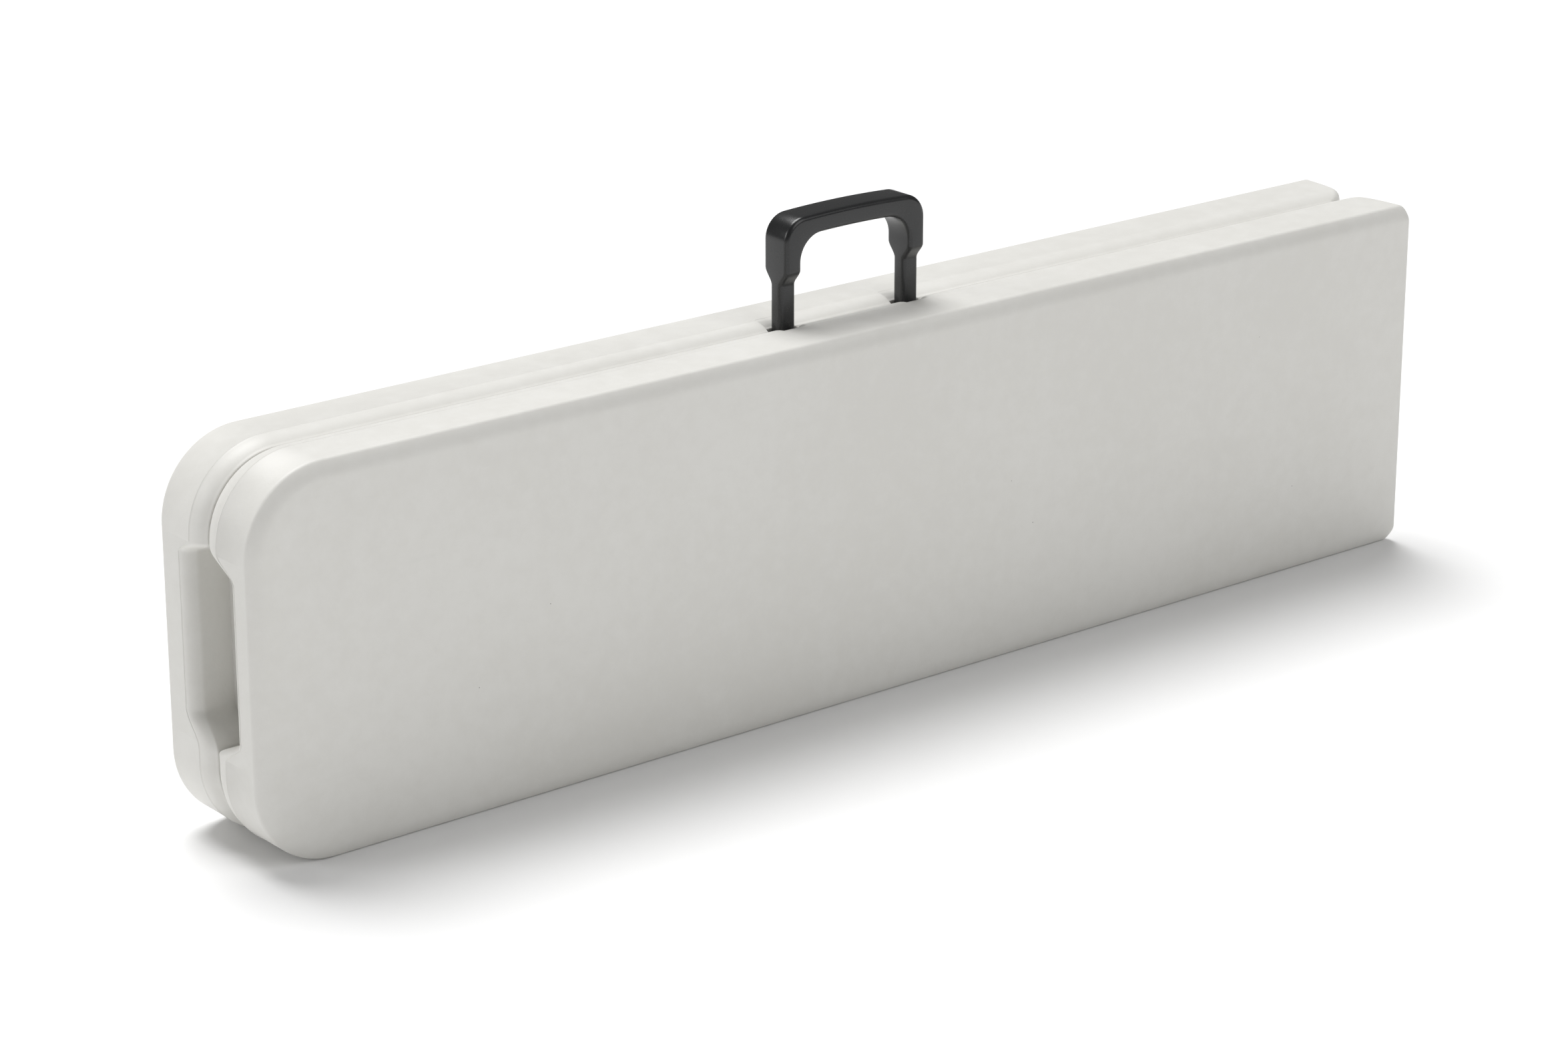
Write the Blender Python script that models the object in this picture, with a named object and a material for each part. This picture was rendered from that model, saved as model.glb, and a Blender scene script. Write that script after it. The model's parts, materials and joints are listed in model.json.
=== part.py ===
"""A blow-moulded bench top that folds in half, standing shut on its long edge with its carry handle up.

Frame: +X runs from the carrying end to the hinge end, +Z runs up the folded bench (across its seat)
and the two halves meet on the plane Y = 0, the front half at -Y and the rear half at +Y.
The origin is at the bottom centre of the folded bench. Metres throughout.

Most pieces are laid out in a half's own coordinates: s from the carrying end along X, d from the
parting plane into that half, and z up from the floor.
"""

import math

import bmesh
import bpy
from mathutils import Vector

# Moulded halves
LENGTH = 0.922  # one half, carrying end to hinge end
WIDTH = 0.240  # across the seat, which is the height of the folded bench
HALF_DEPTH = 0.0485  # thickness of one half
PARTING_GAP = 0.001  # between the two halves when shut
PANEL = 0.018  # seat thickness over the hollow
SKIRT = 0.012  # wall around the hollow at the long edges
END_WALL = 0.028  # wall at the carrying end, which the hand slot passes through
HINGE_WALL = 0.045  # wall at the hinge end
CORNER_R = 0.0515  # carrying-end corners in plan
HINGE_CORNER_R = 0.0065  # hinge-end corners in plan
ROLL_WIDE = 0.0116  # roll from the seat to the rim: its width on the seat
ROLL_DEEP = 0.0068  # and its reach down the rim
HINGE_EDGE_R = 0.0015  # the seat's crisp edge at the hinge end, where the two seats meet when open
LIP_ROLL = 0.0035  # how far the rim rolls in at the parting line
LIP_REACH = 0.0135  # how far from the parting line that roll starts
END_DRAFT = 0.06  # slope of the hinge end, seat to parting plane
NOSE_SETBACK = 0.021  # how far the hinge end sweeps back beyond that at the parting line
NOSE_FADE = 0.007  # how quickly that sweep dies out away from it

# Hand slot in the carrying end
SLOT_LENGTH = 0.113
SLOT_RAISE = 0.0045  # its middle above the middle of the width
SLOT_REACH = {"front": 0.0265, "rear": 0.0185}  # from the parting plane into each half
SLOT_R = 0.0095
SLOT_FLARE = 0.007

# Carry handle
HANDLE_S = 0.466  # its middle from the carrying end
HANDLE_WIDTH = 0.111
HANDLE_RISE = 0.069  # above the rim
HANDLE_THICK = 0.0125
HANDLE_DEPTH = 0.0225
HANDLE_CORNER_R = 0.0145
HANDLE_INNER_R = 0.016
HANDLE_EDGE_R = 0.003
HANDLE_CROWN = 0.002  # rise of the grip in the middle
STRAP_DEPTH = 0.0105
STRAP_VISIBLE = 0.0245  # narrow strap between the rim and the shoulder
SHOULDER = 0.0105  # length of the flare from the strap to the grip
TOE_WIDTH = 0.0200
TOE_THICK = 0.004
NOTCH_SIDE = 0.004  # room beside a strap, along the rim
NOTCH_DEPTH = 0.0012  # room in front of and behind a strap
GUIDE_WALL = 0.0015
GUIDE_FLANGE = 0.009

# Steel rails and their hinge straps
RAIL_THICK = 0.010
RAIL_DEPTH = 0.021
RAIL_WALL = 0.0015
RAIL_START = 0.055  # from the carrying end
RAIL_END_GAP = 0.002
STRAP_PLATE = 0.003
STRAP_GRIP = 0.050  # length of the strap along its rail
STRAP_EYE_R = 0.008
PIN_R = 0.004
PIN_HEAD_R = 0.0062
PIN_HEAD = 0.0018
HINGE_STANDOFF = 0.00025  # from the hinge end's face to the hinge axis
RIVET_R = 0.0025
RIVET_HEAD_R = 0.0045
RIVET_HEAD = 0.0016
GUIDE_RIVET_R = 0.0014
GUIDE_RIVET_HEAD_R = 0.0026
GUIDE_RIVET_HEAD = 0.0010

# Legs
BENCH_HEIGHT = 0.430
LEG_PIVOT_S = 0.075
LEG_TUBE_R = 0.011
LEG_TUBE_WALL = 0.0012
LEG_BEND_R = 0.040
LEG_SIDE_GAP = 0.0011  # between a leg and the hinge strap's plane
LEG_END = 0.0072  # tube past the pivot, short enough to turn clear of the seat panel
LEG_FLOOR_GAP = 0.0025  # between a folded leg and the seat panel
PIVOT_ROD_R = 0.005
CROSSBAR_R = 0.005
CROSSBAR_REACH = 0.130  # from the leg pivot
PAD_WALL = 0.002  # foot pad outside the tube, less than the gap to the seat panel
PAD_LENGTH = 0.018
PAD_SPACING = 0.054
BUSH_R = 0.009

# Stay that holds a leg open, and the catch it drops into
STAY_CLEAR = 0.0335  # folded, from the stay's end bar to the leg's floor bar
STAY_ROD_R = 0.004
STAY_WIDTH = 0.090
STAY_BEND_R = 0.014
STAY_EYE_R = 0.0085
STAY_EYE_LENGTH = 0.010
CATCH_WIDTH = 0.026
CATCH_BASE = 0.003
CATCH_FLANGE = 0.015
CATCH_JAW = 0.0045

# Screws
SCREW_R = 0.0020
SCREW_HEAD_R = 0.0040
SCREW_HEAD = 0.0020
SCREW_BITE = 0.009

# Clearances
GAP = 0.0003  # between pieces that touch
RUNNING = 0.0003  # around a turning or sliding fit
HOLE_GAP = 0.0003
OVER = 0.002  # how far a cutter runs past what it cuts

# Worked out from the sizes above
FACE = PARTING_GAP / 2  # d of the rim's parting face
OUTER = FACE + HALF_DEPTH  # d of the seat face
FLOOR = OUTER - PANEL  # d of the hollow's floor
HOLLOW_END = LENGTH - HINGE_WALL
MIDDLE = WIDTH / 2
HINGE_S = LENGTH + HINGE_STANDOFF
ORIGIN_S = (HINGE_S + STRAP_EYE_R) / 2
STRAP_OFFSET = (HANDLE_WIDTH - HANDLE_THICK) / 2
RAIL_BACK = FLOOR - GAP
RAIL_FRONT = RAIL_BACK - RAIL_DEPTH
RAIL_END = HOLLOW_END - RAIL_END_GAP
STRAP_BACK = RAIL_BACK - RAIL_WALL
PLATE_STEP = STRAP_PLATE + GAP
RAIL_OFFSET = {"front": 0.0, "rear": PLATE_STEP}  # the rear straps lie just inside the front ones
LEG_D = FLOOR - LEG_FLOOR_GAP - LEG_TUBE_R
LEG_OUTER_Z = SKIRT + GAP + RAIL_THICK + GAP + STRAP_PLATE + PLATE_STEP + LEG_SIDE_GAP
LEG_Z = LEG_OUTER_Z + LEG_TUBE_R
LEG_HALF_WIDTH = MIDDLE - LEG_Z
PAD_R = LEG_TUBE_R + PAD_WALL
LEG_LENGTH = BENCH_HEIGHT - (OUTER - LEG_D) - PAD_R
STAY_LENGTH = LEG_LENGTH - CROSSBAR_REACH - STAY_CLEAR
CATCH_REACH = math.sqrt(STAY_LENGTH**2 - CROSSBAR_REACH**2)  # leg pivot to catch, with the leg open
CATCH_S = LEG_PIVOT_S + CATCH_REACH
TOE_TOP = WIDTH - SKIRT - GAP - RAIL_THICK - GAP

SIDES = ("front", "rear")
EDGES = ("lower", "upper")


# Placing


def place(side, s, d, z):
    """World position of a point given in a half's own coordinates."""
    return Vector((s - ORIGIN_S, -d if side == "front" else d, z))


def edge_z(edge, z):
    """A height measured in from the lower or the upper edge."""
    return z if edge == "lower" else WIDTH - z


def arc(centre_a, centre_b, radius, start, end, steps):
    """Points of an arc in a plane, angles in degrees."""
    turns = [math.radians(start + (end - start) * k / steps) for k in range(steps + 1)]
    return [(centre_a + radius * math.cos(t), centre_b + radius * math.sin(t)) for t in turns]


# Building


def new_object(name, mesh_bm, origin=(0, 0, 0), smooth=35):
    """An object from a bmesh in world coordinates, with its origin at the given point."""
    bmesh.ops.remove_doubles(mesh_bm, verts=mesh_bm.verts, dist=1e-6)
    bmesh.ops.recalc_face_normals(mesh_bm, faces=mesh_bm.faces)
    bmesh.ops.translate(mesh_bm, verts=mesh_bm.verts, vec=-Vector(origin))
    mesh = bpy.data.meshes.new(name)
    mesh_bm.to_mesh(mesh)
    mesh_bm.free()
    mesh.shade_smooth()
    mesh.set_sharp_from_angle(angle=math.radians(smooth))
    made = bpy.data.objects.new(name, mesh)
    made.location = origin
    bpy.context.scene.collection.objects.link(made)
    return made


def add_skin(bm, loops, capped=True):
    """Joins loops of equal length with faces and, if asked, closes both ends."""
    rings = [[bm.verts.new(point) for point in loop] for loop in loops]
    for one, two in zip(rings, rings[1:]):
        for k in range(len(one)):
            after = (k + 1) % len(one)
            bm.faces.new((one[k], one[after], two[after], two[k]))
    if capped:
        bm.faces.new(rings[0])
        bm.faces.new(rings[-1])
    return rings


def add_ring_skin(bm, loops):
    """Joins loops into a closed ring, the last back to the first."""
    rings = add_skin(bm, loops, capped=False)
    one, two = rings[-1], rings[0]
    for k in range(len(one)):
        after = (k + 1) % len(one)
        bm.faces.new((one[k], one[after], two[after], two[k]))


def add_prism(bm, outline, start, end, to_world):
    """A closed outline of (a, b) pairs, extruded from start to end, each point through to_world."""
    add_skin(bm, [[to_world(a, b, c) for a, b in outline] for c in (start, end)])


def add_box(bm, low, high):
    outline = [(low[0], low[1]), (high[0], low[1]), (high[0], high[1]), (low[0], high[1])]
    add_prism(bm, outline, low[2], high[2], lambda a, b, c: Vector((a, b, c)))


def add_turned(bm, profile, centre, axis, steps):
    """A solid of revolution: profile holds (distance along the axis, radius) pairs, from end to end."""
    turn = Vector((0, 0, 1)).rotation_difference(Vector(axis)).to_matrix()
    loops = []
    for along, radius in profile:
        points = arc(0, 0, radius, 0, 360, steps)[:-1]
        loops.append([Vector(centre) + turn @ Vector((a, b, along)) for a, b in points])
    add_skin(bm, loops)


def add_bush(bm, centre, axis, outer_r, inner_r, length, steps):
    """A plain ring, centred on its length."""
    turn = Vector((0, 0, 1)).rotation_difference(Vector(axis)).to_matrix()
    corners = [(inner_r, -length / 2), (outer_r, -length / 2), (outer_r, length / 2), (inner_r, length / 2)]
    loops = []
    for radius, along in corners:
        points = arc(0, 0, radius, 0, 360, steps)[:-1]
        loops.append([Vector(centre) + turn @ Vector((a, b, along)) for a, b in points])
    add_ring_skin(bm, loops)


def path_loops(path, radius, steps):
    """Rings around a flat path of world points in a plane square to Y."""
    loops = []
    for k, point in enumerate(path):
        before = path[max(k - 1, 0)]
        after = path[min(k + 1, len(path) - 1)]
        along = (after - before).normalized()
        out = Vector((0, 1, 0)).cross(along).normalized()
        stretch = 1.0
        if 0 < k < len(path) - 1:
            stretch = 1 / max(0.5, along.dot((after - point).normalized()))
        ring = arc(0, 0, radius, 0, 360, steps)[:-1]
        loops.append([point + out * a * stretch + Vector((0, 1, 0)) * b for a, b in ring])
    return loops


def boolean(target, cutter, operation):
    """Leaves the Boolean on the target and keeps the tool out of the model."""
    cutter.hide_render = True
    cutter.display_type = "WIRE"
    modifier = target.modifiers.new(operation.lower(), "BOOLEAN")
    modifier.operation = operation
    modifier.solver = "EXACT"
    modifier.object = cutter


def material(name, color, roughness, metallic=0.0):
    made = bpy.data.materials.new(name)
    made.use_nodes = True
    shader = made.node_tree.nodes["Principled BSDF"]
    shader.inputs["Base Color"].default_value = (*color, 1)
    shader.inputs["Roughness"].default_value = roughness
    shader.inputs["Metallic"].default_value = metallic
    return made


def finish(made, look):
    made.data.materials.append(look)
    return made


# Moulded halves


def end_setback(d):
    """How far the hinge end stands back at a distance d from the parting plane."""
    return END_DRAFT * (OUTER - d) + NOSE_SETBACK * math.exp(-d / NOSE_FADE)


def plan_loop(side, d, inset, left, end, left_r, right_r):
    """One level of a half: a rectangle with rounded corners, drawn at distance d."""
    low, high = inset, WIDTH - inset
    points = arc(left + left_r, low + left_r, left_r, 180, 270, 7)
    points += arc(end - right_r, low + right_r, right_r, 270, 360, 3)
    points += arc(end - right_r, high - right_r, right_r, 0, 90, 3)
    points += arc(left + left_r, high - left_r, left_r, 90, 180, 7)
    return [place(side, s, d, z) for s, z in points]


def half_levels():
    """(d, inset, both ends' s, corner radii) from the seat face, round the rim, to the hollow's floor."""
    least_r = 0.001
    levels = []
    roll_end = OUTER - ROLL_DEEP
    for k in range(5):
        turn = math.radians(90 * k / 4)
        inset = ROLL_WIDE * (1 - math.sin(turn))
        d = OUTER - ROLL_DEEP * (1 - math.cos(turn))
        end = LENGTH - end_setback(d) - (HINGE_EDGE_R if k == 0 else 0)
        levels.append((d, inset, inset, end, CORNER_R - inset, max(least_r, HINGE_CORNER_R - inset)))
    for share in (0.75, 0.5, 0.28, 0.12, 0.0):
        d = FACE + share * (roll_end - FACE)
        inset = LIP_ROLL * max(0.0, 1 - (d - FACE) / LIP_REACH) ** 3
        levels.append((d, inset, inset, LENGTH - end_setback(d), CORNER_R - inset, HINGE_CORNER_R - inset))
    hollow = (SKIRT, END_WALL, HOLLOW_END, CORNER_R - END_WALL, RAIL_END_GAP)
    levels.append((FACE, *hollow))
    levels.append((FLOOR, *hollow))
    return levels


def slot_outline(side):
    """One half's share of the hand slot, as (d, z) pairs: a scoop that flares at the parting plane."""
    low = MIDDLE + SLOT_RAISE - SLOT_LENGTH / 2
    high = MIDDLE + SLOT_RAISE + SLOT_LENGTH / 2
    deep = SLOT_REACH[side]
    points = [(-OVER, low - SLOT_FLARE), (FACE, low - SLOT_FLARE)]
    points += arc(FACE + SLOT_FLARE, low - SLOT_FLARE, SLOT_FLARE, 180, 90, 3)[1:]
    points += arc(deep - SLOT_R, low + SLOT_R, SLOT_R, -90, 0, 4)
    points += arc(deep - SLOT_R, high - SLOT_R, SLOT_R, 0, 90, 4)
    points += arc(FACE + SLOT_FLARE, high + SLOT_FLARE, SLOT_FLARE, -90, -180, 3)
    points.append((-OVER, high + SLOT_FLARE))
    return points


def plate_z(side, edge):
    """The hinge strap's two faces, from the edge inwards."""
    start = SKIRT + GAP + RAIL_OFFSET[side] + RAIL_THICK + GAP
    return edge_z(edge, start), edge_z(edge, start + STRAP_PLATE)


def rail_z(side, edge):
    start = SKIRT + GAP + RAIL_OFFSET[side]
    return edge_z(edge, start), edge_z(edge, start + RAIL_THICK)


def screw_places(side):
    """(name, s, z, head face's d) of every screw driven into one half's seat panel."""
    found = []
    span = RAIL_END - RAIL_START
    for edge in EDGES:
        z = sum(rail_z(side, edge)) / 2
        for end, share in (("outer", 0.10), ("inner", 0.72)):
            found.append((f"rail_screw_{side}_{edge}_{end}", RAIL_START + share * span, z, RAIL_FRONT))
    for edge, sign in (("lower", -1), ("upper", 1)):
        z = MIDDLE + sign * (CATCH_WIDTH + CATCH_FLANGE) / 2
        found.append((f"catch_screw_{side}_{edge}", CATCH_S, z, FLOOR - GAP - CATCH_BASE))
    return found


def make_half(side, look):
    bm = bmesh.new()
    add_skin(bm, [plan_loop(side, *level) for level in half_levels()])
    half = finish(new_object(f"top_{side}", bm, smooth=30), look)

    cuts = bmesh.new()
    add_prism(cuts, slot_outline(side), -OVER, END_WALL + OVER, lambda d, z, s: place(side, s, d, z))
    for sign in (-1, 1):
        s = HANDLE_S + sign * STRAP_OFFSET
        reach = HANDLE_THICK / 2 + NOTCH_SIDE
        deep = STRAP_DEPTH / 2 + NOTCH_DEPTH
        notch = [(s - reach, -OVER), (s + reach, -OVER), (s + reach, deep), (s - reach, deep)]
        add_prism(cuts, notch, WIDTH - SKIRT - OVER, WIDTH + OVER, lambda a, b, c: place(side, a, b, c))
    for edge in EDGES:
        near, far = plate_z(side, edge)
        low, high = min(near, far) - HOLE_GAP, max(near, far) + HOLE_GAP
        slot = [(HOLLOW_END - OVER, -OVER), (LENGTH + OVER, -OVER)]
        slot += [(LENGTH + OVER, STRAP_EYE_R + OVER), (HOLLOW_END - OVER, STRAP_BACK + HOLE_GAP * 3)]
        add_prism(cuts, slot, low, high, lambda a, b, c: place(side, a, b, c))
    for _, s, z, _ in screw_places(side):
        profile = [(-OVER, SCREW_R + HOLE_GAP), (SCREW_BITE + GAP, SCREW_R + HOLE_GAP)]
        add_turned(cuts, profile, place(side, s, FLOOR, z), place(side, 0, 1, 0) - place(side, 0, 0, 0), 10)
    boolean(half, new_object(f"top_{side}_cuts", cuts), "DIFFERENCE")
    return half


# Rails, hinge straps and hinge pins


def rivet_s(edge_share):
    return RAIL_END - STRAP_GRIP * edge_share


def make_rail(side, edge, look):
    near, far = rail_z(side, edge)
    low, high = min(near, far), max(near, far)
    bm = bmesh.new()
    loops = []
    for s, inset in ((RAIL_START, 0), (RAIL_END, 0), (RAIL_END, RAIL_WALL), (RAIL_START, RAIL_WALL)):
        front, back = RAIL_FRONT + inset, RAIL_BACK - inset
        corners = [(front, low + inset), (back, low + inset), (back, high - inset), (front, high - inset)]
        loops.append([place(side, s, d, z) for d, z in corners])
    add_ring_skin(bm, loops)
    rail = finish(new_object(f"rail_{side}_{edge}", bm), look)

    cuts = bmesh.new()
    into = place(side, 0, 1, 0) - place(side, 0, 0, 0)
    for name, s, z, _ in screw_places(side):
        if name.startswith("rail") and edge in name:
            profile = [(-OVER, SCREW_R + HOLE_GAP), (RAIL_DEPTH + OVER, SCREW_R + HOLE_GAP)]
            add_turned(cuts, profile, place(side, s, RAIL_FRONT, z), into, 10)
    hole = PIVOT_ROD_R + RUNNING
    add_turned(cuts, [(low - OVER, hole), (high + OVER, hole)], place(side, LEG_PIVOT_S, LEG_D, 0), (0, 0, 1), 16)
    inner_wall = edge_z(edge, SKIRT + GAP + RAIL_OFFSET[side] + RAIL_THICK - RAIL_WALL / 2)
    span = RAIL_WALL / 2 + OVER / 2
    for share in (0.25, 0.75):
        profile = [(-span, RIVET_R + HOLE_GAP), (span, RIVET_R + HOLE_GAP)]
        middle = place(side, rivet_s(share), (RAIL_FRONT + RAIL_BACK) / 2, inner_wall)
        add_turned(cuts, profile, middle, (0, 0, 1), 10)
    if side == "front" and edge == "upper":
        for s in guide_rivet_places():
            profile = [(-OVER, GUIDE_RIVET_R + HOLE_GAP), (RAIL_WALL + OVER / 2, GUIDE_RIVET_R + HOLE_GAP)]
            add_turned(cuts, profile, place(side, s, RAIL_FRONT, (low + high) / 2), into, 8)
    boolean(rail, new_object(f"rail_{side}_{edge}_cuts", cuts), "DIFFERENCE")
    return rail


def make_hinge_strap(side, edge, look):
    """A flat strap riveted to the rail, tapering through the end wall to an eye on the hinge axis."""
    near, far = plate_z(side, edge)
    grip = RAIL_END - STRAP_GRIP
    outline = [(grip, RAIL_FRONT), (grip, STRAP_BACK), (RAIL_END, STRAP_BACK)]
    outline += arc(HINGE_S, 0, STRAP_EYE_R, 62, -145, 11)
    outline += [(LENGTH - end_setback(0) + OVER, OVER / 2), (RAIL_END, RAIL_FRONT)]
    bm = bmesh.new()
    add_prism(bm, outline, near, far, lambda s, d, z: place(side, s, d, z))
    strap = finish(new_object(f"hinge_strap_{side}_{edge}", bm), look)

    cuts = bmesh.new()
    low, high = min(near, far) - OVER, max(near, far) + OVER
    hole = PIN_R + RUNNING
    add_turned(cuts, [(low, hole), (high, hole)], place(side, HINGE_S, 0, 0), (0, 0, 1), 14)
    for share in (0.25, 0.75):
        hole = RIVET_R + HOLE_GAP
        centre = place(side, rivet_s(share), (RAIL_FRONT + RAIL_BACK) / 2, 0)
        add_turned(cuts, [(low, hole), (high, hole)], centre, (0, 0, 1), 10)
    boolean(strap, new_object(f"hinge_strap_{side}_{edge}_cuts", cuts), "DIFFERENCE")
    return strap


def make_hinge_pin(edge, look):
    """A headed pin through the eye of the front strap and the eye of the rear strap."""
    outer = plate_z("front", edge)[0]
    inner = plate_z("rear", edge)[1]
    away = (0, 0, -1 if edge == "lower" else 1)
    span = abs(inner - outer)
    profile = [(-span - GAP - PIN_HEAD, PIN_HEAD_R * 0.75), (-span - GAP - PIN_HEAD / 2, PIN_HEAD_R)]
    profile += [(-span - GAP, PIN_HEAD_R), (-span - GAP, PIN_R), (GAP, PIN_R), (GAP, PIN_HEAD_R)]
    profile += [(GAP + PIN_HEAD / 2, PIN_HEAD_R), (GAP + PIN_HEAD, PIN_HEAD_R * 0.75)]
    bm = bmesh.new()
    add_turned(bm, profile, place("front", HINGE_S, 0, outer), away, 14)
    return finish(new_object(f"hinge_pin_{edge}", bm, place("front", HINGE_S, 0, outer)), look)


def make_strap_rivets(side, edge, look):
    """The rivets that hold a hinge strap to its rail, each closed inside the hollow rail."""
    face = plate_z(side, edge)[1]
    away = (0, 0, 1 if edge == "lower" else -1)
    through = STRAP_PLATE + GAP + RAIL_WALL + GAP
    profile = [(-through - RIVET_HEAD, RIVET_HEAD_R * 0.7), (-through, RIVET_HEAD_R * 0.8), (-through, RIVET_R)]
    profile += [(GAP, RIVET_R), (GAP, RIVET_HEAD_R), (GAP + RIVET_HEAD, RIVET_HEAD_R * 0.6)]
    for end, share in (("inner", 0.25), ("outer", 0.75)):
        centre = place(side, rivet_s(share), (RAIL_FRONT + RAIL_BACK) / 2, face)
        bm = bmesh.new()
        add_turned(bm, profile, centre, away, 10)
        finish(new_object(f"strap_rivet_{side}_{edge}_{end}", bm, centre), look)


def make_screws(side, look):
    """Pan-head screws into the seat panel, each down through the piece it holds."""
    into = place(side, 0, 1, 0) - place(side, 0, 0, 0)
    for name, s, z, face in screw_places(side):
        head = face - GAP
        length = FLOOR + SCREW_BITE - head
        profile = [(-SCREW_HEAD, SCREW_HEAD_R * 0.6), (-SCREW_HEAD / 2, SCREW_HEAD_R), (0, SCREW_HEAD_R)]
        profile += [(0, SCREW_R), (length - SCREW_R, SCREW_R), (length, SCREW_R / 3)]
        bm = bmesh.new()
        add_turned(bm, profile, place(side, s, head, z), into, 10)
        finish(new_object(name, bm, place(side, s, head, z)), look)


# Legs


def u_path(side, start, end, half_width, bend_r, d, steps):
    """A U in a half's own plane: in along one side, round two bends and back along the other."""
    points = [(start, MIDDLE - half_width)]
    points += arc(end - bend_r, MIDDLE - half_width + bend_r, bend_r, -90, 0, steps)
    points += arc(end - bend_r, MIDDLE + half_width - bend_r, bend_r, 0, 90, steps)
    points.append((start, MIDDLE + half_width))
    return [place(side, s, d, z) for s, z in points]


def make_leg_frame(side, look):
    """One bent tube, open at its two upper ends, drilled for the pivot rod and the crossbar."""
    end = LEG_PIVOT_S + LEG_LENGTH
    path = u_path(side, LEG_PIVOT_S - LEG_END, end, LEG_HALF_WIDTH, LEG_BEND_R, LEG_D, 6)
    outside = path_loops(path, LEG_TUBE_R, 16)
    inside = path_loops(path, LEG_TUBE_R - LEG_TUBE_WALL, 16)
    bm = bmesh.new()
    add_ring_skin(bm, outside + inside[::-1])
    leg = finish(new_object(f"leg_frame_{side}", bm, place(side, LEG_PIVOT_S, LEG_D, MIDDLE)), look)

    cuts = bmesh.new()
    hole = PIVOT_ROD_R + RUNNING
    centre = place(side, LEG_PIVOT_S, LEG_D, 0)
    add_turned(cuts, [(-OVER, hole), (WIDTH + OVER, hole)], centre, (0, 0, 1), 16)
    hole = CROSSBAR_R + HOLE_GAP
    low, high = LEG_Z, WIDTH - LEG_Z
    centre = place(side, LEG_PIVOT_S + CROSSBAR_REACH, LEG_D, 0)
    add_turned(cuts, [(low, hole), (high, hole)], centre, (0, 0, 1), 16)
    boolean(leg, new_object(f"leg_frame_{side}_cuts", cuts), "DIFFERENCE")
    return leg


def make_rod(name, side, s, low, high, radius, look):
    chamfer = radius * 0.2
    profile = [(low, radius - chamfer), (low + chamfer, radius), (high - chamfer, radius), (high, radius - chamfer)]
    bm = bmesh.new()
    add_turned(bm, profile, place(side, s, LEG_D, 0), (0, 0, 1), 16)
    return finish(new_object(name, bm, place(side, s, LEG_D, MIDDLE)), look)


def make_leg_fittings(side, steel, plastic):
    """The pivot rod and its spacer bushes, the crossbar welded into the tubes, and the foot pads."""
    ends = [rail_z(side, edge)[0] for edge in EDGES]
    make_rod(f"leg_pivot_rod_{side}", side, LEG_PIVOT_S, ends[0], ends[1], PIVOT_ROD_R, steel)
    reach = LEG_TUBE_R - LEG_TUBE_WALL - RUNNING * 2
    low = LEG_Z + LEG_TUBE_R - LEG_TUBE_WALL - reach / 2
    make_rod(f"leg_crossbar_{side}", side, LEG_PIVOT_S + CROSSBAR_REACH, low, WIDTH - low, CROSSBAR_R, steel)
    for edge in EDGES:
        rail_face = SKIRT + GAP + RAIL_OFFSET[side] + RAIL_THICK + GAP
        leg_face = LEG_OUTER_Z - GAP
        centre = place(side, LEG_PIVOT_S, LEG_D, edge_z(edge, (rail_face + leg_face) / 2))
        bm = bmesh.new()
        add_bush(bm, centre, (0, 0, 1), BUSH_R, PIVOT_ROD_R + RUNNING, leg_face - rail_face, 16)
        finish(new_object(f"leg_bush_{side}_{edge}", bm, centre), plastic)
    for edge, sign in (("lower", -1), ("upper", 1)):
        centre = place(side, LEG_PIVOT_S + LEG_LENGTH, LEG_D, MIDDLE + sign * PAD_SPACING / 2)
        bm = bmesh.new()
        add_bush(bm, centre, (0, 0, 1), PAD_R, LEG_TUBE_R + GAP, PAD_LENGTH, 20)
        finish(new_object(f"foot_pad_{side}_{edge}", bm, centre), plastic)


# Stays and catches


def make_stay(side, look):
    """A bent rod with an eye at each end, turning on the leg's crossbar."""
    pivot = LEG_PIVOT_S + CROSSBAR_REACH
    path = u_path(side, pivot, pivot + STAY_LENGTH, STAY_WIDTH / 2, STAY_BEND_R, LEG_D, 4)
    bm = bmesh.new()
    add_skin(bm, path_loops(path, STAY_ROD_R, 10))
    origin = place(side, pivot, LEG_D, MIDDLE)
    stay = finish(new_object(f"leg_stay_{side}", bm, origin), look)

    eyes = bmesh.new()
    for sign in (-1, 1):
        profile = [(-STAY_EYE_LENGTH / 2, STAY_EYE_R), (STAY_EYE_LENGTH / 2, STAY_EYE_R)]
        add_turned(eyes, profile, place(side, pivot, LEG_D, MIDDLE + sign * STAY_WIDTH / 2), (0, 0, 1), 16)
    boolean(stay, new_object(f"leg_stay_{side}_eyes", eyes), "UNION")

    bores = bmesh.new()
    bore = CROSSBAR_R + RUNNING
    add_turned(bores, [(0, bore), (WIDTH, bore)], place(side, pivot, LEG_D, 0), (0, 0, 1), 16)
    boolean(stay, new_object(f"leg_stay_{side}_bores", bores), "DIFFERENCE")
    return stay


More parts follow.
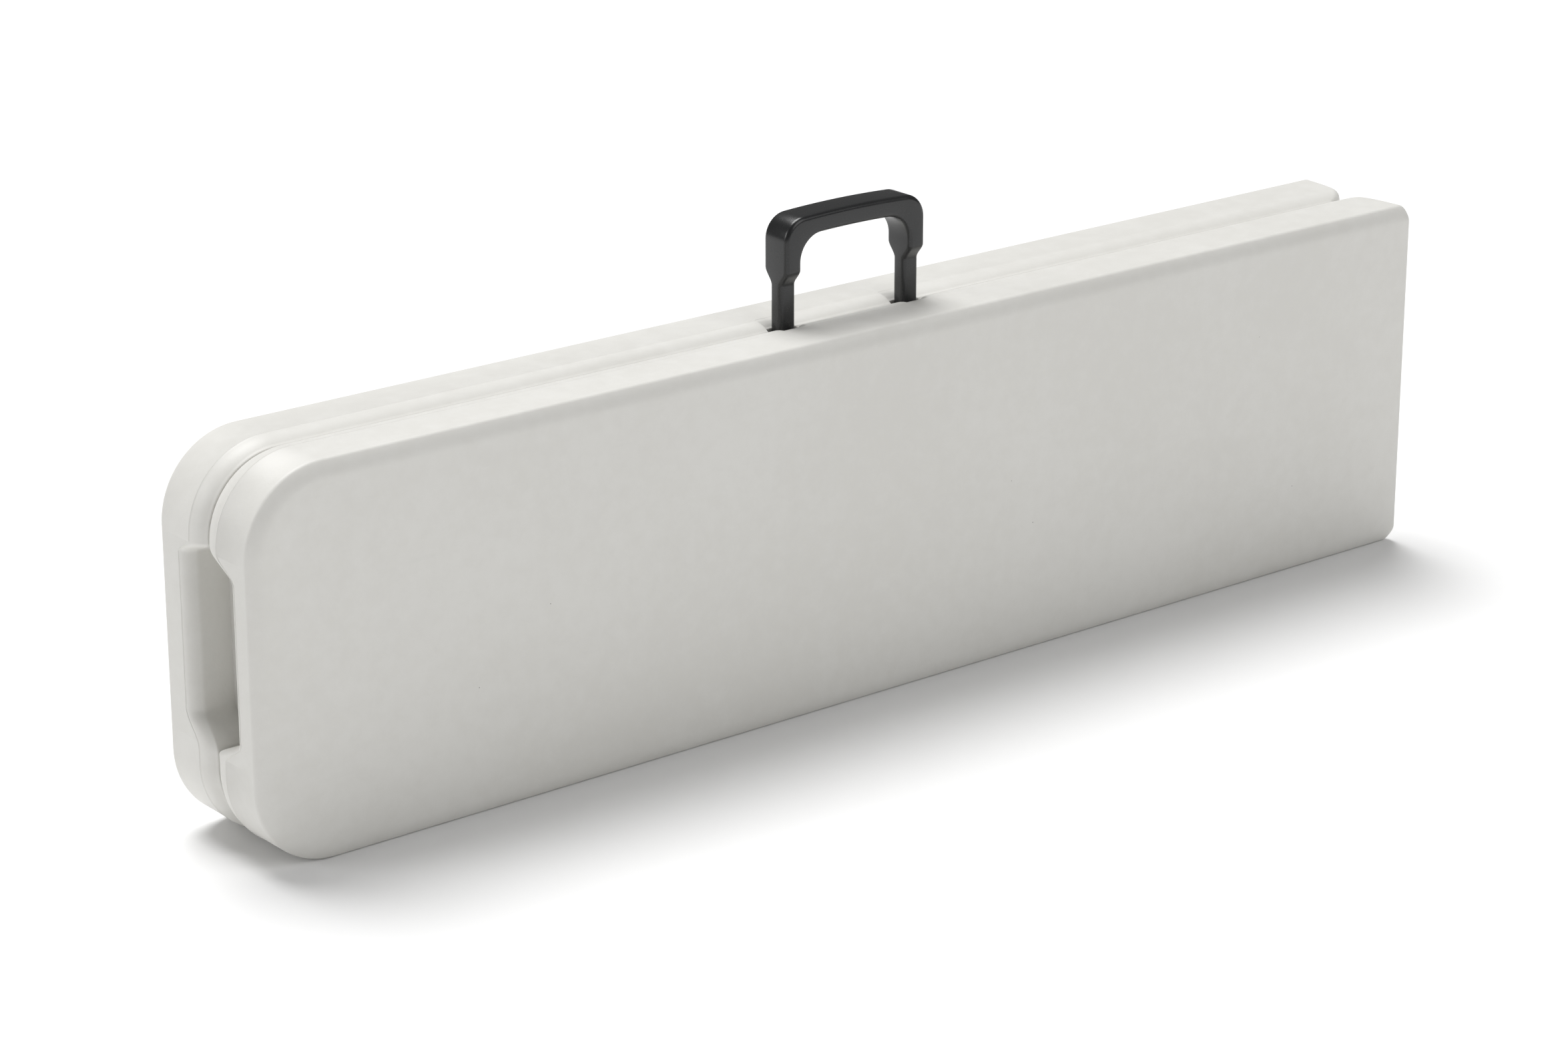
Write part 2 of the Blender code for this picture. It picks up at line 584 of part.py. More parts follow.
def make_catch(side, look):
    """A moulded hook on the seat panel: the stay's end bar slides in from the hinge side."""
    base = FLOOR - GAP
    seat_r = STAY_ROD_R + RUNNING
    mouth = CATCH_S + 3 * seat_r
    jaw = LEG_D - seat_r - CATCH_JAW
    outline = [(CATCH_S - 3 * seat_r, base), (CATCH_S - 2.4 * seat_r, jaw), (CATCH_S, jaw)]
    outline += [(CATCH_S, jaw + CATCH_JAW * 0.6)]
    outline += arc(CATCH_S, LEG_D, seat_r, 270, 90, 8)
    outline += [(mouth, LEG_D + seat_r * 1.3), (mouth, base)]
    half_width = CATCH_WIDTH / 2
    bm = bmesh.new()
    low, high = MIDDLE - half_width, MIDDLE + half_width
    add_prism(bm, outline, low, high, lambda s, d, z: place(side, s, d, z))
    catch = finish(new_object(f"stay_catch_{side}", bm), look)

    flanges = bmesh.new()
    reach = half_width + CATCH_FLANGE
    plate = [(CATCH_S - CATCH_FLANGE / 2, base), (CATCH_S - CATCH_FLANGE / 2, base - CATCH_BASE)]
    plate += [(CATCH_S + CATCH_FLANGE / 2, base - CATCH_BASE), (CATCH_S + CATCH_FLANGE / 2, base)]
    add_prism(flanges, plate, MIDDLE - reach, MIDDLE + reach, lambda s, d, z: place(side, s, d, z))
    boolean(catch, new_object(f"stay_catch_{side}_flanges", flanges), "UNION")

    holes = bmesh.new()
    into = place(side, 0, 1, 0) - place(side, 0, 0, 0)
    for name, s, z, face in screw_places(side):
        if name.startswith("catch"):
            profile = [(-OVER, SCREW_R + HOLE_GAP), (CATCH_BASE + OVER, SCREW_R + HOLE_GAP)]
            add_turned(holes, profile, place(side, s, face, z), into, 10)
    boolean(catch, new_object(f"stay_catch_{side}_holes", holes), "DIFFERENCE")
    return catch


# Handle and its guides


def handle_stations():
    """(outer point, inner point, depth) of the handle's sections, up one strap, over and down."""
    half = HANDLE_WIDTH / 2
    inner = half - HANDLE_THICK
    shoulder = WIDTH + STRAP_VISIBLE
    top = WIDTH + HANDLE_RISE - HANDLE_CROWN
    rising = [((-half, TOE_TOP - TOE_THICK / 2), (-inner, TOE_TOP - TOE_THICK / 2), STRAP_DEPTH)]
    for k in range(5):
        share = k / 4
        ease = share * share * (3 - 2 * share)
        depth = STRAP_DEPTH + (HANDLE_DEPTH - STRAP_DEPTH) * ease
        z = shoulder + SHOULDER * share
        rising.append(((-half, z), (-inner, z), depth))
    outside = arc(-half + HANDLE_CORNER_R, top - HANDLE_CORNER_R, HANDLE_CORNER_R, 180, 90, 5)
    under = top - HANDLE_THICK - HANDLE_INNER_R
    inside = arc(-inner + HANDLE_INNER_R, under, HANDLE_INNER_R, 180, 90, 5)
    rising += [(outer, near, HANDLE_DEPTH) for outer, near in zip(outside, inside)]
    over = []
    for share in (-0.5, 0.0, 0.5):
        crown = HANDLE_CROWN * (1 - share * share)
        outer = (share * half, top + crown)
        near = (share * inner, top - HANDLE_THICK + crown)
        over.append((outer, near, HANDLE_DEPTH))
    falling = [((-a, b), (-c, d), depth) for (a, b), (c, d), depth in reversed(rising)]
    return rising + over + falling


def section_loop(outer, near, depth, steps=3):
    """A rounded rectangle of the given depth, spanning an outer and an inner point of the handle."""
    out = Vector((outer[0] - near[0], 0, outer[1] - near[1]))
    middle = place("front", HANDLE_S + (outer[0] + near[0]) / 2, 0, (outer[1] + near[1]) / 2)
    a, b = out.length / 2 - HANDLE_EDGE_R, depth / 2 - HANDLE_EDGE_R
    points = []
    for sign_a, sign_b, start in ((1, 1, 0), (-1, 1, 90), (-1, -1, 180), (1, -1, 270)):
        points += arc(sign_a * a, sign_b * b, HANDLE_EDGE_R, start, start + 90, steps)
    return [middle + out.normalized() * p + Vector((0, q, 0)) for p, q in points]


def make_handle(look):
    bm = bmesh.new()
    add_skin(bm, [section_loop(*station) for station in handle_stations()])
    handle = finish(new_object("carry_handle", bm, place("front", HANDLE_S, 0, WIDTH)), look)

    toes = bmesh.new()
    for sign in (-1, 1):
        middle = place("front", HANDLE_S + sign * STRAP_OFFSET, 0, TOE_TOP - TOE_THICK / 2)
        reach = Vector((TOE_WIDTH / 2, STRAP_DEPTH / 2, TOE_THICK / 2))
        add_box(toes, middle - reach, middle + reach)
    boolean(handle, new_object("carry_handle_toes", toes), "UNION")
    return handle


def guide_rivet_places():
    """s of the rivets that hold the two handle guides to the front half's upper rail."""
    reach = HANDLE_THICK / 2 + RUNNING + GUIDE_WALL + GUIDE_FLANGE / 2
    return [HANDLE_S + leg * STRAP_OFFSET + sign * reach for leg in (-1, 1) for sign in (-1, 1)]


def make_handle_guides(steel, rivet_look):
    """Hat-shaped clips on the front half's upper rail, each holding one strap of the handle."""
    near, far = rail_z("front", "upper")
    low, high = min(near, far), max(near, far)
    inner = HANDLE_THICK / 2 + RUNNING
    outer = inner + GUIDE_WALL
    tip = outer + GUIDE_FLANGE
    wall_face = RAIL_FRONT - GAP
    flange_face = wall_face - GUIDE_WALL
    inside = -STRAP_DEPTH / 2 - RUNNING
    crown = inside - GUIDE_WALL
    for hand, sign in (("left", -1), ("right", 1)):
        s = HANDLE_S + sign * STRAP_OFFSET
        outline = [(-tip, wall_face), (-tip, flange_face), (-outer, flange_face), (-outer, crown)]
        outline += [(outer, crown), (outer, flange_face), (tip, flange_face), (tip, wall_face)]
        outline += [(inner, wall_face), (inner, inside), (-inner, inside), (-inner, wall_face)]
        bm = bmesh.new()
        add_prism(bm, outline, low, high, lambda a, d, z, s=s: place("front", s + a, d, z))
        guide = finish(new_object(f"handle_guide_{hand}", bm), steel)

        holes = bmesh.new()
        into = (0, -1, 0)
        for rivet in guide_rivet_places():
            if abs(rivet - s) < STRAP_OFFSET:
                profile = [(-OVER, GUIDE_RIVET_R + HOLE_GAP), (GUIDE_WALL + OVER, GUIDE_RIVET_R + HOLE_GAP)]
                add_turned(holes, profile, place("front", rivet, flange_face, (low + high) / 2), into, 8)
        boolean(guide, new_object(f"handle_guide_{hand}_holes", holes), "DIFFERENCE")

    through = GUIDE_WALL + GAP + RAIL_WALL + GAP
    head = GUIDE_RIVET_HEAD_R
    profile = [(-GUIDE_RIVET_HEAD - GAP, head * 0.6), (-GAP, head), (-GAP, GUIDE_RIVET_R)]
    profile += [(through, GUIDE_RIVET_R), (through, head * 0.8), (through + GUIDE_RIVET_HEAD, head * 0.6)]
    for number, rivet in enumerate(guide_rivet_places(), 1):
        centre = place("front", rivet, flange_face, (low + high) / 2)
        bm = bmesh.new()
        add_turned(bm, profile, centre, (0, -1, 0), 8)
        finish(new_object(f"guide_rivet_{number}", bm, centre), rivet_look)


def main():
    for old in list(bpy.data.objects):
        bpy.data.objects.remove(old, do_unlink=True)
    moulded = material("moulded_plastic", (0.80, 0.80, 0.77), 0.55)
    black = material("black_plastic", (0.035, 0.036, 0.037), 0.38)
    coated = material("powder_coated_steel", (0.30, 0.31, 0.32), 0.45, 0.3)
    plated = material("plated_steel", (0.62, 0.62, 0.60), 0.32, 1.0)
    for side in SIDES:
        make_half(side, moulded)
        for edge in EDGES:
            make_rail(side, edge, coated)
            make_hinge_strap(side, edge, plated)
            make_strap_rivets(side, edge, plated)
        make_screws(side, plated)
        make_leg_frame(side, coated)
        make_leg_fittings(side, plated, black)
        make_stay(side, plated)
        make_catch(side, black)
    for edge in EDGES:
        make_hinge_pin(edge, plated)
    make_handle(black)
    make_handle_guides(plated, plated)


main()
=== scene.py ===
"""Looks of a moulded bench top folded in half, standing on its long edge with its carry handle up."""

import json
import math

import bmesh
import bpy
from mathutils import Matrix, Vector


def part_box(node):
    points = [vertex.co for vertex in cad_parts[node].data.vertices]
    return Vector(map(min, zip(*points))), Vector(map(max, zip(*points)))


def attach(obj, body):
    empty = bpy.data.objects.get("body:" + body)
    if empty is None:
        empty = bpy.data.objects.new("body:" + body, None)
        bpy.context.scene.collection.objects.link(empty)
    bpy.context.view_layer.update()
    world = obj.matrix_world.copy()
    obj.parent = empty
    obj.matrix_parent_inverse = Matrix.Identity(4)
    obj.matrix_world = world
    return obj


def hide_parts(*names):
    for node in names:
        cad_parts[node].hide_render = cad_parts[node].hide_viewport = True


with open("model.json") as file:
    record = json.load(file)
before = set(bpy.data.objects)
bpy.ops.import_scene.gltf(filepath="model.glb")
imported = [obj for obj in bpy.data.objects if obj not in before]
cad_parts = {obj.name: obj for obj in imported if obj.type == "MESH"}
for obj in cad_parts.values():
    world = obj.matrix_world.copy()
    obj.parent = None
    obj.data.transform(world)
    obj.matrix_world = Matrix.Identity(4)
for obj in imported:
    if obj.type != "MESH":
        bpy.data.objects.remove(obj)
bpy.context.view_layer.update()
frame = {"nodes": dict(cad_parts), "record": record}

# Places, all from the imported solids
FRONT_LOW, FRONT_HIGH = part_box("top_front")
LEFT, RIGHT = FRONT_LOW.x, FRONT_HIGH.x
WIDTH = FRONT_HIGH.z
MIDDLE = WIDTH / 2
OUTER, FACE = -FRONT_LOW.y, -FRONT_HIGH.y
RAIL_LOW, RAIL_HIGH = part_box("rail_front_lower")
FLOOR = 0.0003 - RAIL_LOW.y
HOLLOW_END = RAIL_HIGH.x + 0.002
HANDLE_LOW, HANDLE_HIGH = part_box("carry_handle")
HANDLE_X = (HANDLE_LOW.x + HANDLE_HIGH.x) / 2

# Moulded halves
SKIRT = 0.012
END_WALL = 0.028
CORNER = 0.0515
ROLL_TIGHT = 0.0034  # the seat's roll starts tight at the rim
ROLL_SLOW = 0.0165  # and runs out slowly on the seat
ROLL_TURN = math.radians(52)  # where one becomes the other
ROLL_DEEP = ROLL_TIGHT * math.sin(ROLL_TURN) + ROLL_SLOW * (1 - math.sin(ROLL_TURN))
ROLL_WIDE = ROLL_TIGHT * (1 - math.cos(ROLL_TURN)) + ROLL_SLOW * math.cos(ROLL_TURN)
ROLL_START = OUTER - ROLL_DEEP
BEAD = 0.0135  # width of the bead beside the parting line
BEAD_DROP = 0.0046
LIP = 0.0012  # small rounding where the bead meets the parting plane
FLASH = 0.0003  # height of the moulding line
HOLLOW_EDGE = 0.0008  # easing of the hollow's mouth
HINGE_ROUND = 0.0065
END_DRAFT = 0.06
NOSE = 0.021
NOSE_FADE = 0.007
SLOT_LOW, SLOT_HIGH = 0.0680, 0.1810
SLOT_REACH = {"front": 0.0262, "rear": 0.0185}
SLOT_EDGE = {"front": 0.0010, "rear": 0.0042}  # rounding of the slot's edge
SLOT_ENDS = {"front": (0.015, 0.015), "rear": (0.021, 0.010)}  # height of the lower and upper transitions

STRAP_EYE_DEEP = 0.0102  # depth of a hinge strap's recess at the hinge end

# Carry handle
HANDLE_HALF = 0.0555
GRIP_DEPTH = 0.0225
GRIP_THICK = 0.0125
STRAP_DEPTH = 0.0105
SHOULDER_Z = WIDTH + 0.0245
SHOULDER = 0.0105
CROWN = 0.002
TOE = HANDLE_LOW.z
GRIP_TOP = HANDLE_HIGH.z - CROWN
EDGE_ROUND = 0.0030
NOTCH_HALF = GRIP_THICK / 2 + 0.004
NOTCH_DEEP = STRAP_DEPTH / 2 + 0.0012
NOTCH_SPAN = 0.017  # of the rim that a notch draws in with it


# Legs and stays
TUBE = 0.011
TUBE_WALL = 0.0012
LEG_BEND = 0.040
ROD = 0.004
STAY_BEND = 0.014
STAY_WIDTH = 0.09
EYE_R = 0.0085
EYE_LENGTH = 0.010


# Shader maths


class Value:
    """A socket in a sum: each operator adds its Math node."""

    def __init__(self, look, socket):
        self.look = look
        self.socket = socket

    def sum(self, operation, *others, clamp=False):
        terms = [self, *others]
        node = self.look.node("ShaderNodeMath", {"operation": operation, "use_clamp": clamp}, terms)
        return Value(self.look, node.outputs[0])

    def __add__(self, other):
        return self.sum("ADD", other)

    def __sub__(self, other):
        return self.sum("SUBTRACT", other)

    def __mul__(self, other):
        return self.sum("MULTIPLY", other)

    def __rsub__(self, other):
        node = self.look.node("ShaderNodeMath", {"operation": "SUBTRACT"}, [other, self])
        return Value(self.look, node.outputs[0])

    __radd__ = __add__
    __rmul__ = __mul__

    def clamped(self):
        return self.sum("ADD", 0.0, clamp=True)

    def between(self, low, high):
        """0 below low, 1 above high, smooth between them."""
        settings = {"interpolation_type": "SMOOTHSTEP"}
        inputs = {"Value": self, "From Min": low, "From Max": high}
        return Value(self.look, self.look.node("ShaderNodeMapRange", settings, inputs).outputs[0])


class Look:
    """A material, with Object coordinates to draw its patterns on."""

    def __init__(self, name):
        self.material = bpy.data.materials.new(name)
        self.material.use_nodes = True
        self.tree = self.material.node_tree
        self.shader = self.tree.nodes["Principled BSDF"]
        self.place = self.node("ShaderNodeTexCoord").outputs["Object"]

    def node(self, kind, settings=None, inputs=None):
        """A node of one kind: its settings first, then the values or links of its inputs."""
        made = self.tree.nodes.new(kind)
        for name, value in (settings or {}).items():
            setattr(made, name, value)
        pairs = enumerate(inputs) if isinstance(inputs, list) else (inputs or {}).items()
        for key, value in pairs:
            self.feed(made.inputs[key], value)
        return made

    def feed(self, socket, value):
        source = value.socket if isinstance(value, Value) else value
        if isinstance(source, bpy.types.NodeSocket):
            self.tree.links.new(source, socket)
        else:
            socket.default_value = source

    def set(self, **values):
        for name, value in values.items():
            self.feed(self.shader.inputs[name.replace("_", " ")], value)

    def stretched(self, scale):
        return self.node("ShaderNodeMapping", None, {"Vector": self.place, "Scale": scale}).outputs[0]

    def noise(self, scale, detail=2.0, roughness=0.5, place=None, distortion=0.0):
        inputs = {"Vector": place or self.place, "Scale": scale, "Detail": detail}
        inputs.update({"Roughness": roughness, "Distortion": distortion})
        return Value(self, self.node("ShaderNodeTexNoise", None, inputs).outputs[0])

    def cells(self, scale, output="Distance"):
        inputs = {"Vector": self.place, "Scale": scale}
        node = self.node("ShaderNodeTexVoronoi", {"feature": "F1"}, inputs)
        return Value(self, node.outputs[output])

    def blend(self, factor, one, two):
        settings = {"data_type": "RGBA", "blend_type": "MIX"}
        node = self.node("ShaderNodeMix", settings, {0: factor, 6: one, 7: two})
        return node.outputs[2]

    def relief(self, height, distance, strength=1.0, under=None):
        inputs = {"Height": height, "Distance": distance, "Strength": strength}
        if under is not None:
            inputs["Normal"] = under
        return self.node("ShaderNodeBump", None, inputs).outputs[0]

    def specks(self, scale, least, most):
        """Small dots of mixed size, in some of the cells only."""
        draw = self.cells(scale, "Color")
        size = least + (draw - 0.35).clamped() * (most - least)
        return (size - self.cells(scale)).between(0.0, 0.004)


def polyethylene():
    look = Look("moulded polyethylene")
    cloud = look.noise(7.0, 4.0, 0.6)
    mottle = look.noise(85.0, 3.0, 0.65)
    grain = look.noise(1400.0, 2.0, 0.6)
    pebble = look.noise(420.0, 3.0, 0.55)
    dots = look.specks(42.0, 0.004, 0.030)
    flecks = look.specks(110.0, 0.002, 0.022)
    rub = look.noise(30.0, 5.0, 0.7, look.stretched((0.35, 1.0, 2.2)), 0.6)
    marks = rub.between(0.60, 0.74)
    shade = (cloud * 0.55 + mottle * 0.45).between(0.36, 0.66)
    color = look.blend(shade, (0.700, 0.690, 0.655, 1), (0.730, 0.722, 0.690, 1))
    color = look.blend(marks * 0.18, color, (0.66, 0.655, 0.62, 1))
    color = look.blend((dots * 0.75 + flecks * 0.45).clamped(), color, (0.20, 0.19, 0.17, 1))
    look.set(Base_Color=color)
    look.set(Roughness=0.42 + mottle * 0.12 + marks * 0.07)
    low = look.relief(pebble * 0.6 + mottle * 0.4, 0.00022, 0.5)
    look.set(Normal=look.relief(grain, 0.00006, 0.6, low))
    look.set(IOR=1.5)
    return look.material


def black_plastic():
    look = Look("black plastic")
    cloud = look.noise(60.0, 3.0, 0.6)
    grain = look.noise(2600.0, 2.0, 0.6)
    dust = look.noise(700.0, 4.0, 0.7).between(0.60, 0.80)
    color = look.blend(cloud, (0.011, 0.0115, 0.012, 1), (0.017, 0.0175, 0.018, 1))
    color = look.blend(dust * 0.10, color, (0.16, 0.16, 0.155, 1))
    look.set(Base_Color=color)
    look.set(Roughness=0.20 + cloud * 0.12 + dust * 0.10)
    look.set(Normal=look.relief(grain, 0.00004, 0.5))
    return look.material


def powder_coat():
    look = Look("grey powder coat")
    peel = look.noise(900.0, 2.0, 0.5)
    cloud = look.noise(40.0, 4.0, 0.6)
    chips = look.specks(160.0, 0.002, 0.05)
    color = look.blend(cloud, (0.27, 0.28, 0.29, 1), (0.34, 0.35, 0.36, 1))
    color = look.blend(chips * 0.5, color, (0.12, 0.11, 0.10, 1))
    look.set(Base_Color=color)
    look.set(Roughness=0.36 + cloud * 0.16, Metallic=0.0)
    look.set(Normal=look.relief(peel, 0.00010, 0.6))
    return look.material


def zinc():
    look = Look("zinc plate")
    cloud = look.noise(110.0, 4.0, 0.65)
    drawn = look.noise(900.0, 3.0, 0.6, look.stretched((0.12, 1.0, 1.0)))
    dull = look.noise(26.0, 5.0, 0.7).between(0.50, 0.72)
    color = look.blend(cloud, (0.52, 0.53, 0.54, 1), (0.70, 0.70, 0.69, 1))
    color = look.blend(dull * 0.5, color, (0.42, 0.42, 0.40, 1))
    look.set(Base_Color=color)
    look.set(Roughness=0.24 + drawn * 0.16 + dull * 0.18, Metallic=1.0)
    look.set(Normal=look.relief(drawn, 0.00003, 0.5))
    return look.material


# Making pieces


def between(low, high, value):
    """0 below low, 1 above high, smooth between them."""
    share = min(1.0, max(0.0, (value - low) / (high - low)))
    return share * share * (3 - 2 * share)


def piece(name, bm, look, body, slot, *stands_for, sharp=32):
    """An object from a finished mesh, riding on a body in place of its solids."""
    mesh = bpy.data.meshes.new(name)
    bm.to_mesh(mesh)
    bm.free()
    mesh.shade_smooth()
    mesh.set_sharp_from_angle(angle=math.radians(sharp))
    mesh.materials.append(look)
    made = bpy.data.objects.new(name, mesh)
    bpy.context.scene.collection.objects.link(made)
    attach(made, body)
    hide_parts(*stands_for)
    return made


def cut(bm, faces, places, axis):
    """Edge loops across some faces, square to an axis, at each place."""
    for at in places:
        faces = [f for f in faces if f.is_valid]
        edges = {e for f in faces for e in f.edges}
        verts = {v for f in faces for v in f.verts}
        point = Vector([at if k == axis else 0.0 for k in range(3)])
        normal = Vector([1.0 if k == axis else 0.0 for k in range(3)])
        found = bmesh.ops.bisect_plane(
            bm, geom=[*faces, *edges, *verts], dist=1e-6, plane_co=point, plane_no=normal
        )
        faces = list(set(faces) | {g for g in found["geom"] if isinstance(g, bmesh.types.BMFace)})


def spread(low, high, step):
    count = max(1, round((high - low) / step))
    return [low + (high - low) * k / count for k in range(count + 1)]


def carve(solid, cutters):
    """The mesh that is left of an object once the cutters are taken from it."""
    for cutter in cutters:
        modifier = solid.modifiers.new("cut", "BOOLEAN")
        modifier.operation = "DIFFERENCE"
        modifier.solver = "EXACT"
        modifier.use_self = True
        modifier.object = cutter
    graph = bpy.context.evaluated_depsgraph_get()
    mesh = bpy.data.meshes.new_from_object(solid.evaluated_get(graph))
    bm = bmesh.new()
    bm.from_mesh(mesh)
    for old in [solid, *cutters]:
        bpy.data.objects.remove(old, do_unlink=True)
    return bm


def loose(name, bm):
    mesh = bpy.data.meshes.new(name)
    bm.to_mesh(mesh)
    bm.free()
    made = bpy.data.objects.new(name, mesh)
    bpy.context.scene.collection.objects.link(made)
    return made


# Moulded halves


def rim_profile():
    """(inset, d) from the wall's outer face, over the bead and the lip, to the hollow's floor."""
    points = [(0.0, ROLL_START)]
    for extra in (0.0009, 0.00045, 0.0):
        points.append((0.0, FACE + BEAD + extra))
    for k in range(1, 11):
        r = BEAD * (1 - k / 10) + LIP * k / 10
        points.append((BEAD_DROP * (1 - r / BEAD) ** 2.2, FACE + r))
    start = points[-1][0]
    for turn in (30, 60, 90):
        t = math.radians(turn)
        points.append((start + LIP * (1 - math.cos(t)), FACE + LIP * (1 - math.sin(t))))
    points += [(SKIRT - HOLLOW_EDGE, FACE), (SKIRT - 0.0002, FACE + 0.0003)]
    points += [(SKIRT, FACE + 0.001), (SKIRT, FLOOR)]
    return points


def seat_profile():
    """(inset, d) from the wall's outer face, over the roll, to the seat."""
    points = []
    for k in range(9):
        t = ROLL_TURN * k / 8
        points.append((ROLL_TIGHT * (1 - math.cos(t)), ROLL_START + ROLL_TIGHT * math.sin(t)))
    for k in range(1, 10):
        t = ROLL_TURN + (math.pi / 2 - ROLL_TURN) * k / 9
        points.append((ROLL_WIDE - ROLL_SLOW * math.cos(t), OUTER - ROLL_SLOW * (1 - math.sin(t))))
    return points


def raise_steps(bm, face, profile, away):
    """Insets a face step by step along a profile; away is 1 where d grows along its normal."""
    for (in_a, d_a), (in_b, d_b) in zip(profile, profile[1:]):
        thickness = max(in_b - in_a, 0.0)
        if thickness:
            bmesh.ops.inset_region(
                bm,
                faces=[face],
                thickness=thickness,
                depth=(d_b - d_a) * away,
                use_even_offset=True,
                use_boundary=True,
            )
        else:
            ring = bmesh.ops.extrude_face_region(bm, geom=[face])
            moved = [g for g in ring["geom"] if isinstance(g, bmesh.types.BMVert)]
            bmesh.ops.translate(bm, verts=moved, vec=(0, d_a - d_b, 0))
            if face.is_valid:
                bmesh.ops.delete(bm, geom=[face], context="FACES_ONLY")
            face = next(g for g in ring["geom"] if isinstance(g, bmesh.types.BMFace))
        if abs(in_b - SKIRT + HOLLOW_EDGE) < 1e-6:
            for v in face.verts:
                v.co.x = min(v.co.x, HOLLOW_END)
                from_corner = LEFT + CORNER - v.co.x
                if from_corner > 0:
                    v.co.x = LEFT + CORNER - from_corner * (CORNER - END_WALL) / (CORNER - SKIRT)
    return face


def scoop(side, z):
    """How far the hand slot reaches into the rim at a height."""
    lower, upper = SLOT_ENDS[side]
    rise = between(SLOT_LOW - 0.0065, SLOT_LOW - 0.0065 + lower, z)
    fall = 1 - between(SLOT_HIGH + 0.0065 - upper, SLOT_HIGH + 0.0065, z)
    return (SLOT_REACH[side] - FACE) * rise * fall


def sink(v, reach, span):
    """Moves a point of the rim into its half, less the further it is from the parting plane."""
    r = -v.co.y - FACE
    if r < span:
        v.co.y = -(FACE + reach + r * (1 - reach / span))


def soften_slot(side, v, above):
    """Rounds the slot's outer edge: the nearer the parting face a point was, the further in it goes."""
    depth = scoop(side, v.co.z) / (SLOT_REACH[side] - FACE)
    radius = SLOT_EDGE[side]
    share = min(1.0, max(0.0, 1 - above / (BEAD + 0.002)))
    if v.co.x < LEFT + 0.006:
        v.co.x += depth * radius * (1 - math.sqrt(1 - share**2))


def half_shell(side):
    """One half, drawn as the front one."""
    bm = bmesh.new()
    over = RIGHT + 0.04
    corners = [(LEFT, 0), (over, 0), (over, WIDTH), (LEFT, WIDTH)]
    verts = [bm.verts.new((x, -ROLL_START, z)) for x, z in corners]
    seat = bm.faces.new(verts)
    bmesh.ops.bevel(
        bm,
        geom=[verts[0], verts[3]],
        offset=CORNER,
        offset_type="OFFSET",
        segments=26,
        profile=0.5,
        affect="VERTICES",
        material=-1,
    )
    seat = bm.faces[:][0]
    back = bmesh.ops.extrude_face_region(bm, geom=[seat], use_keep_orig=True)
    moved = [g for g in back["geom"] if isinstance(g, bmesh.types.BMVert)]
    rim = next(g for g in back["geom"] if isinstance(g, bmesh.types.BMFace))
    profile = rim_profile()
    bmesh.ops.translate(bm, verts=moved, vec=(0, profile[0][1] - profile[1][1], 0))
    bmesh.ops.recalc_face_normals(bm, faces=bm.faces)
    raise_steps(bm, seat, seat_profile(), 1)
    raise_steps(bm, rim, profile[1:], -1)

    every = [*bm.verts, *bm.edges, *bm.faces]
    trim = bmesh.ops.bisect_plane(
        bm, geom=every, dist=1e-6, plane_co=(RIGHT, 0, 0), plane_no=(1, 0, 0), clear_outer=True
    )
    rim_edges = [g for g in trim["geom_cut"] if isinstance(g, bmesh.types.BMEdge)]
    bmesh.ops.contextual_create(bm, geom=rim_edges)
    bmesh.ops.recalc_face_normals(bm, faces=bm.faces)
    return bm


moulded = polyethylene()
black = black_plastic()
coated = powder_coat()
plated = zinc()


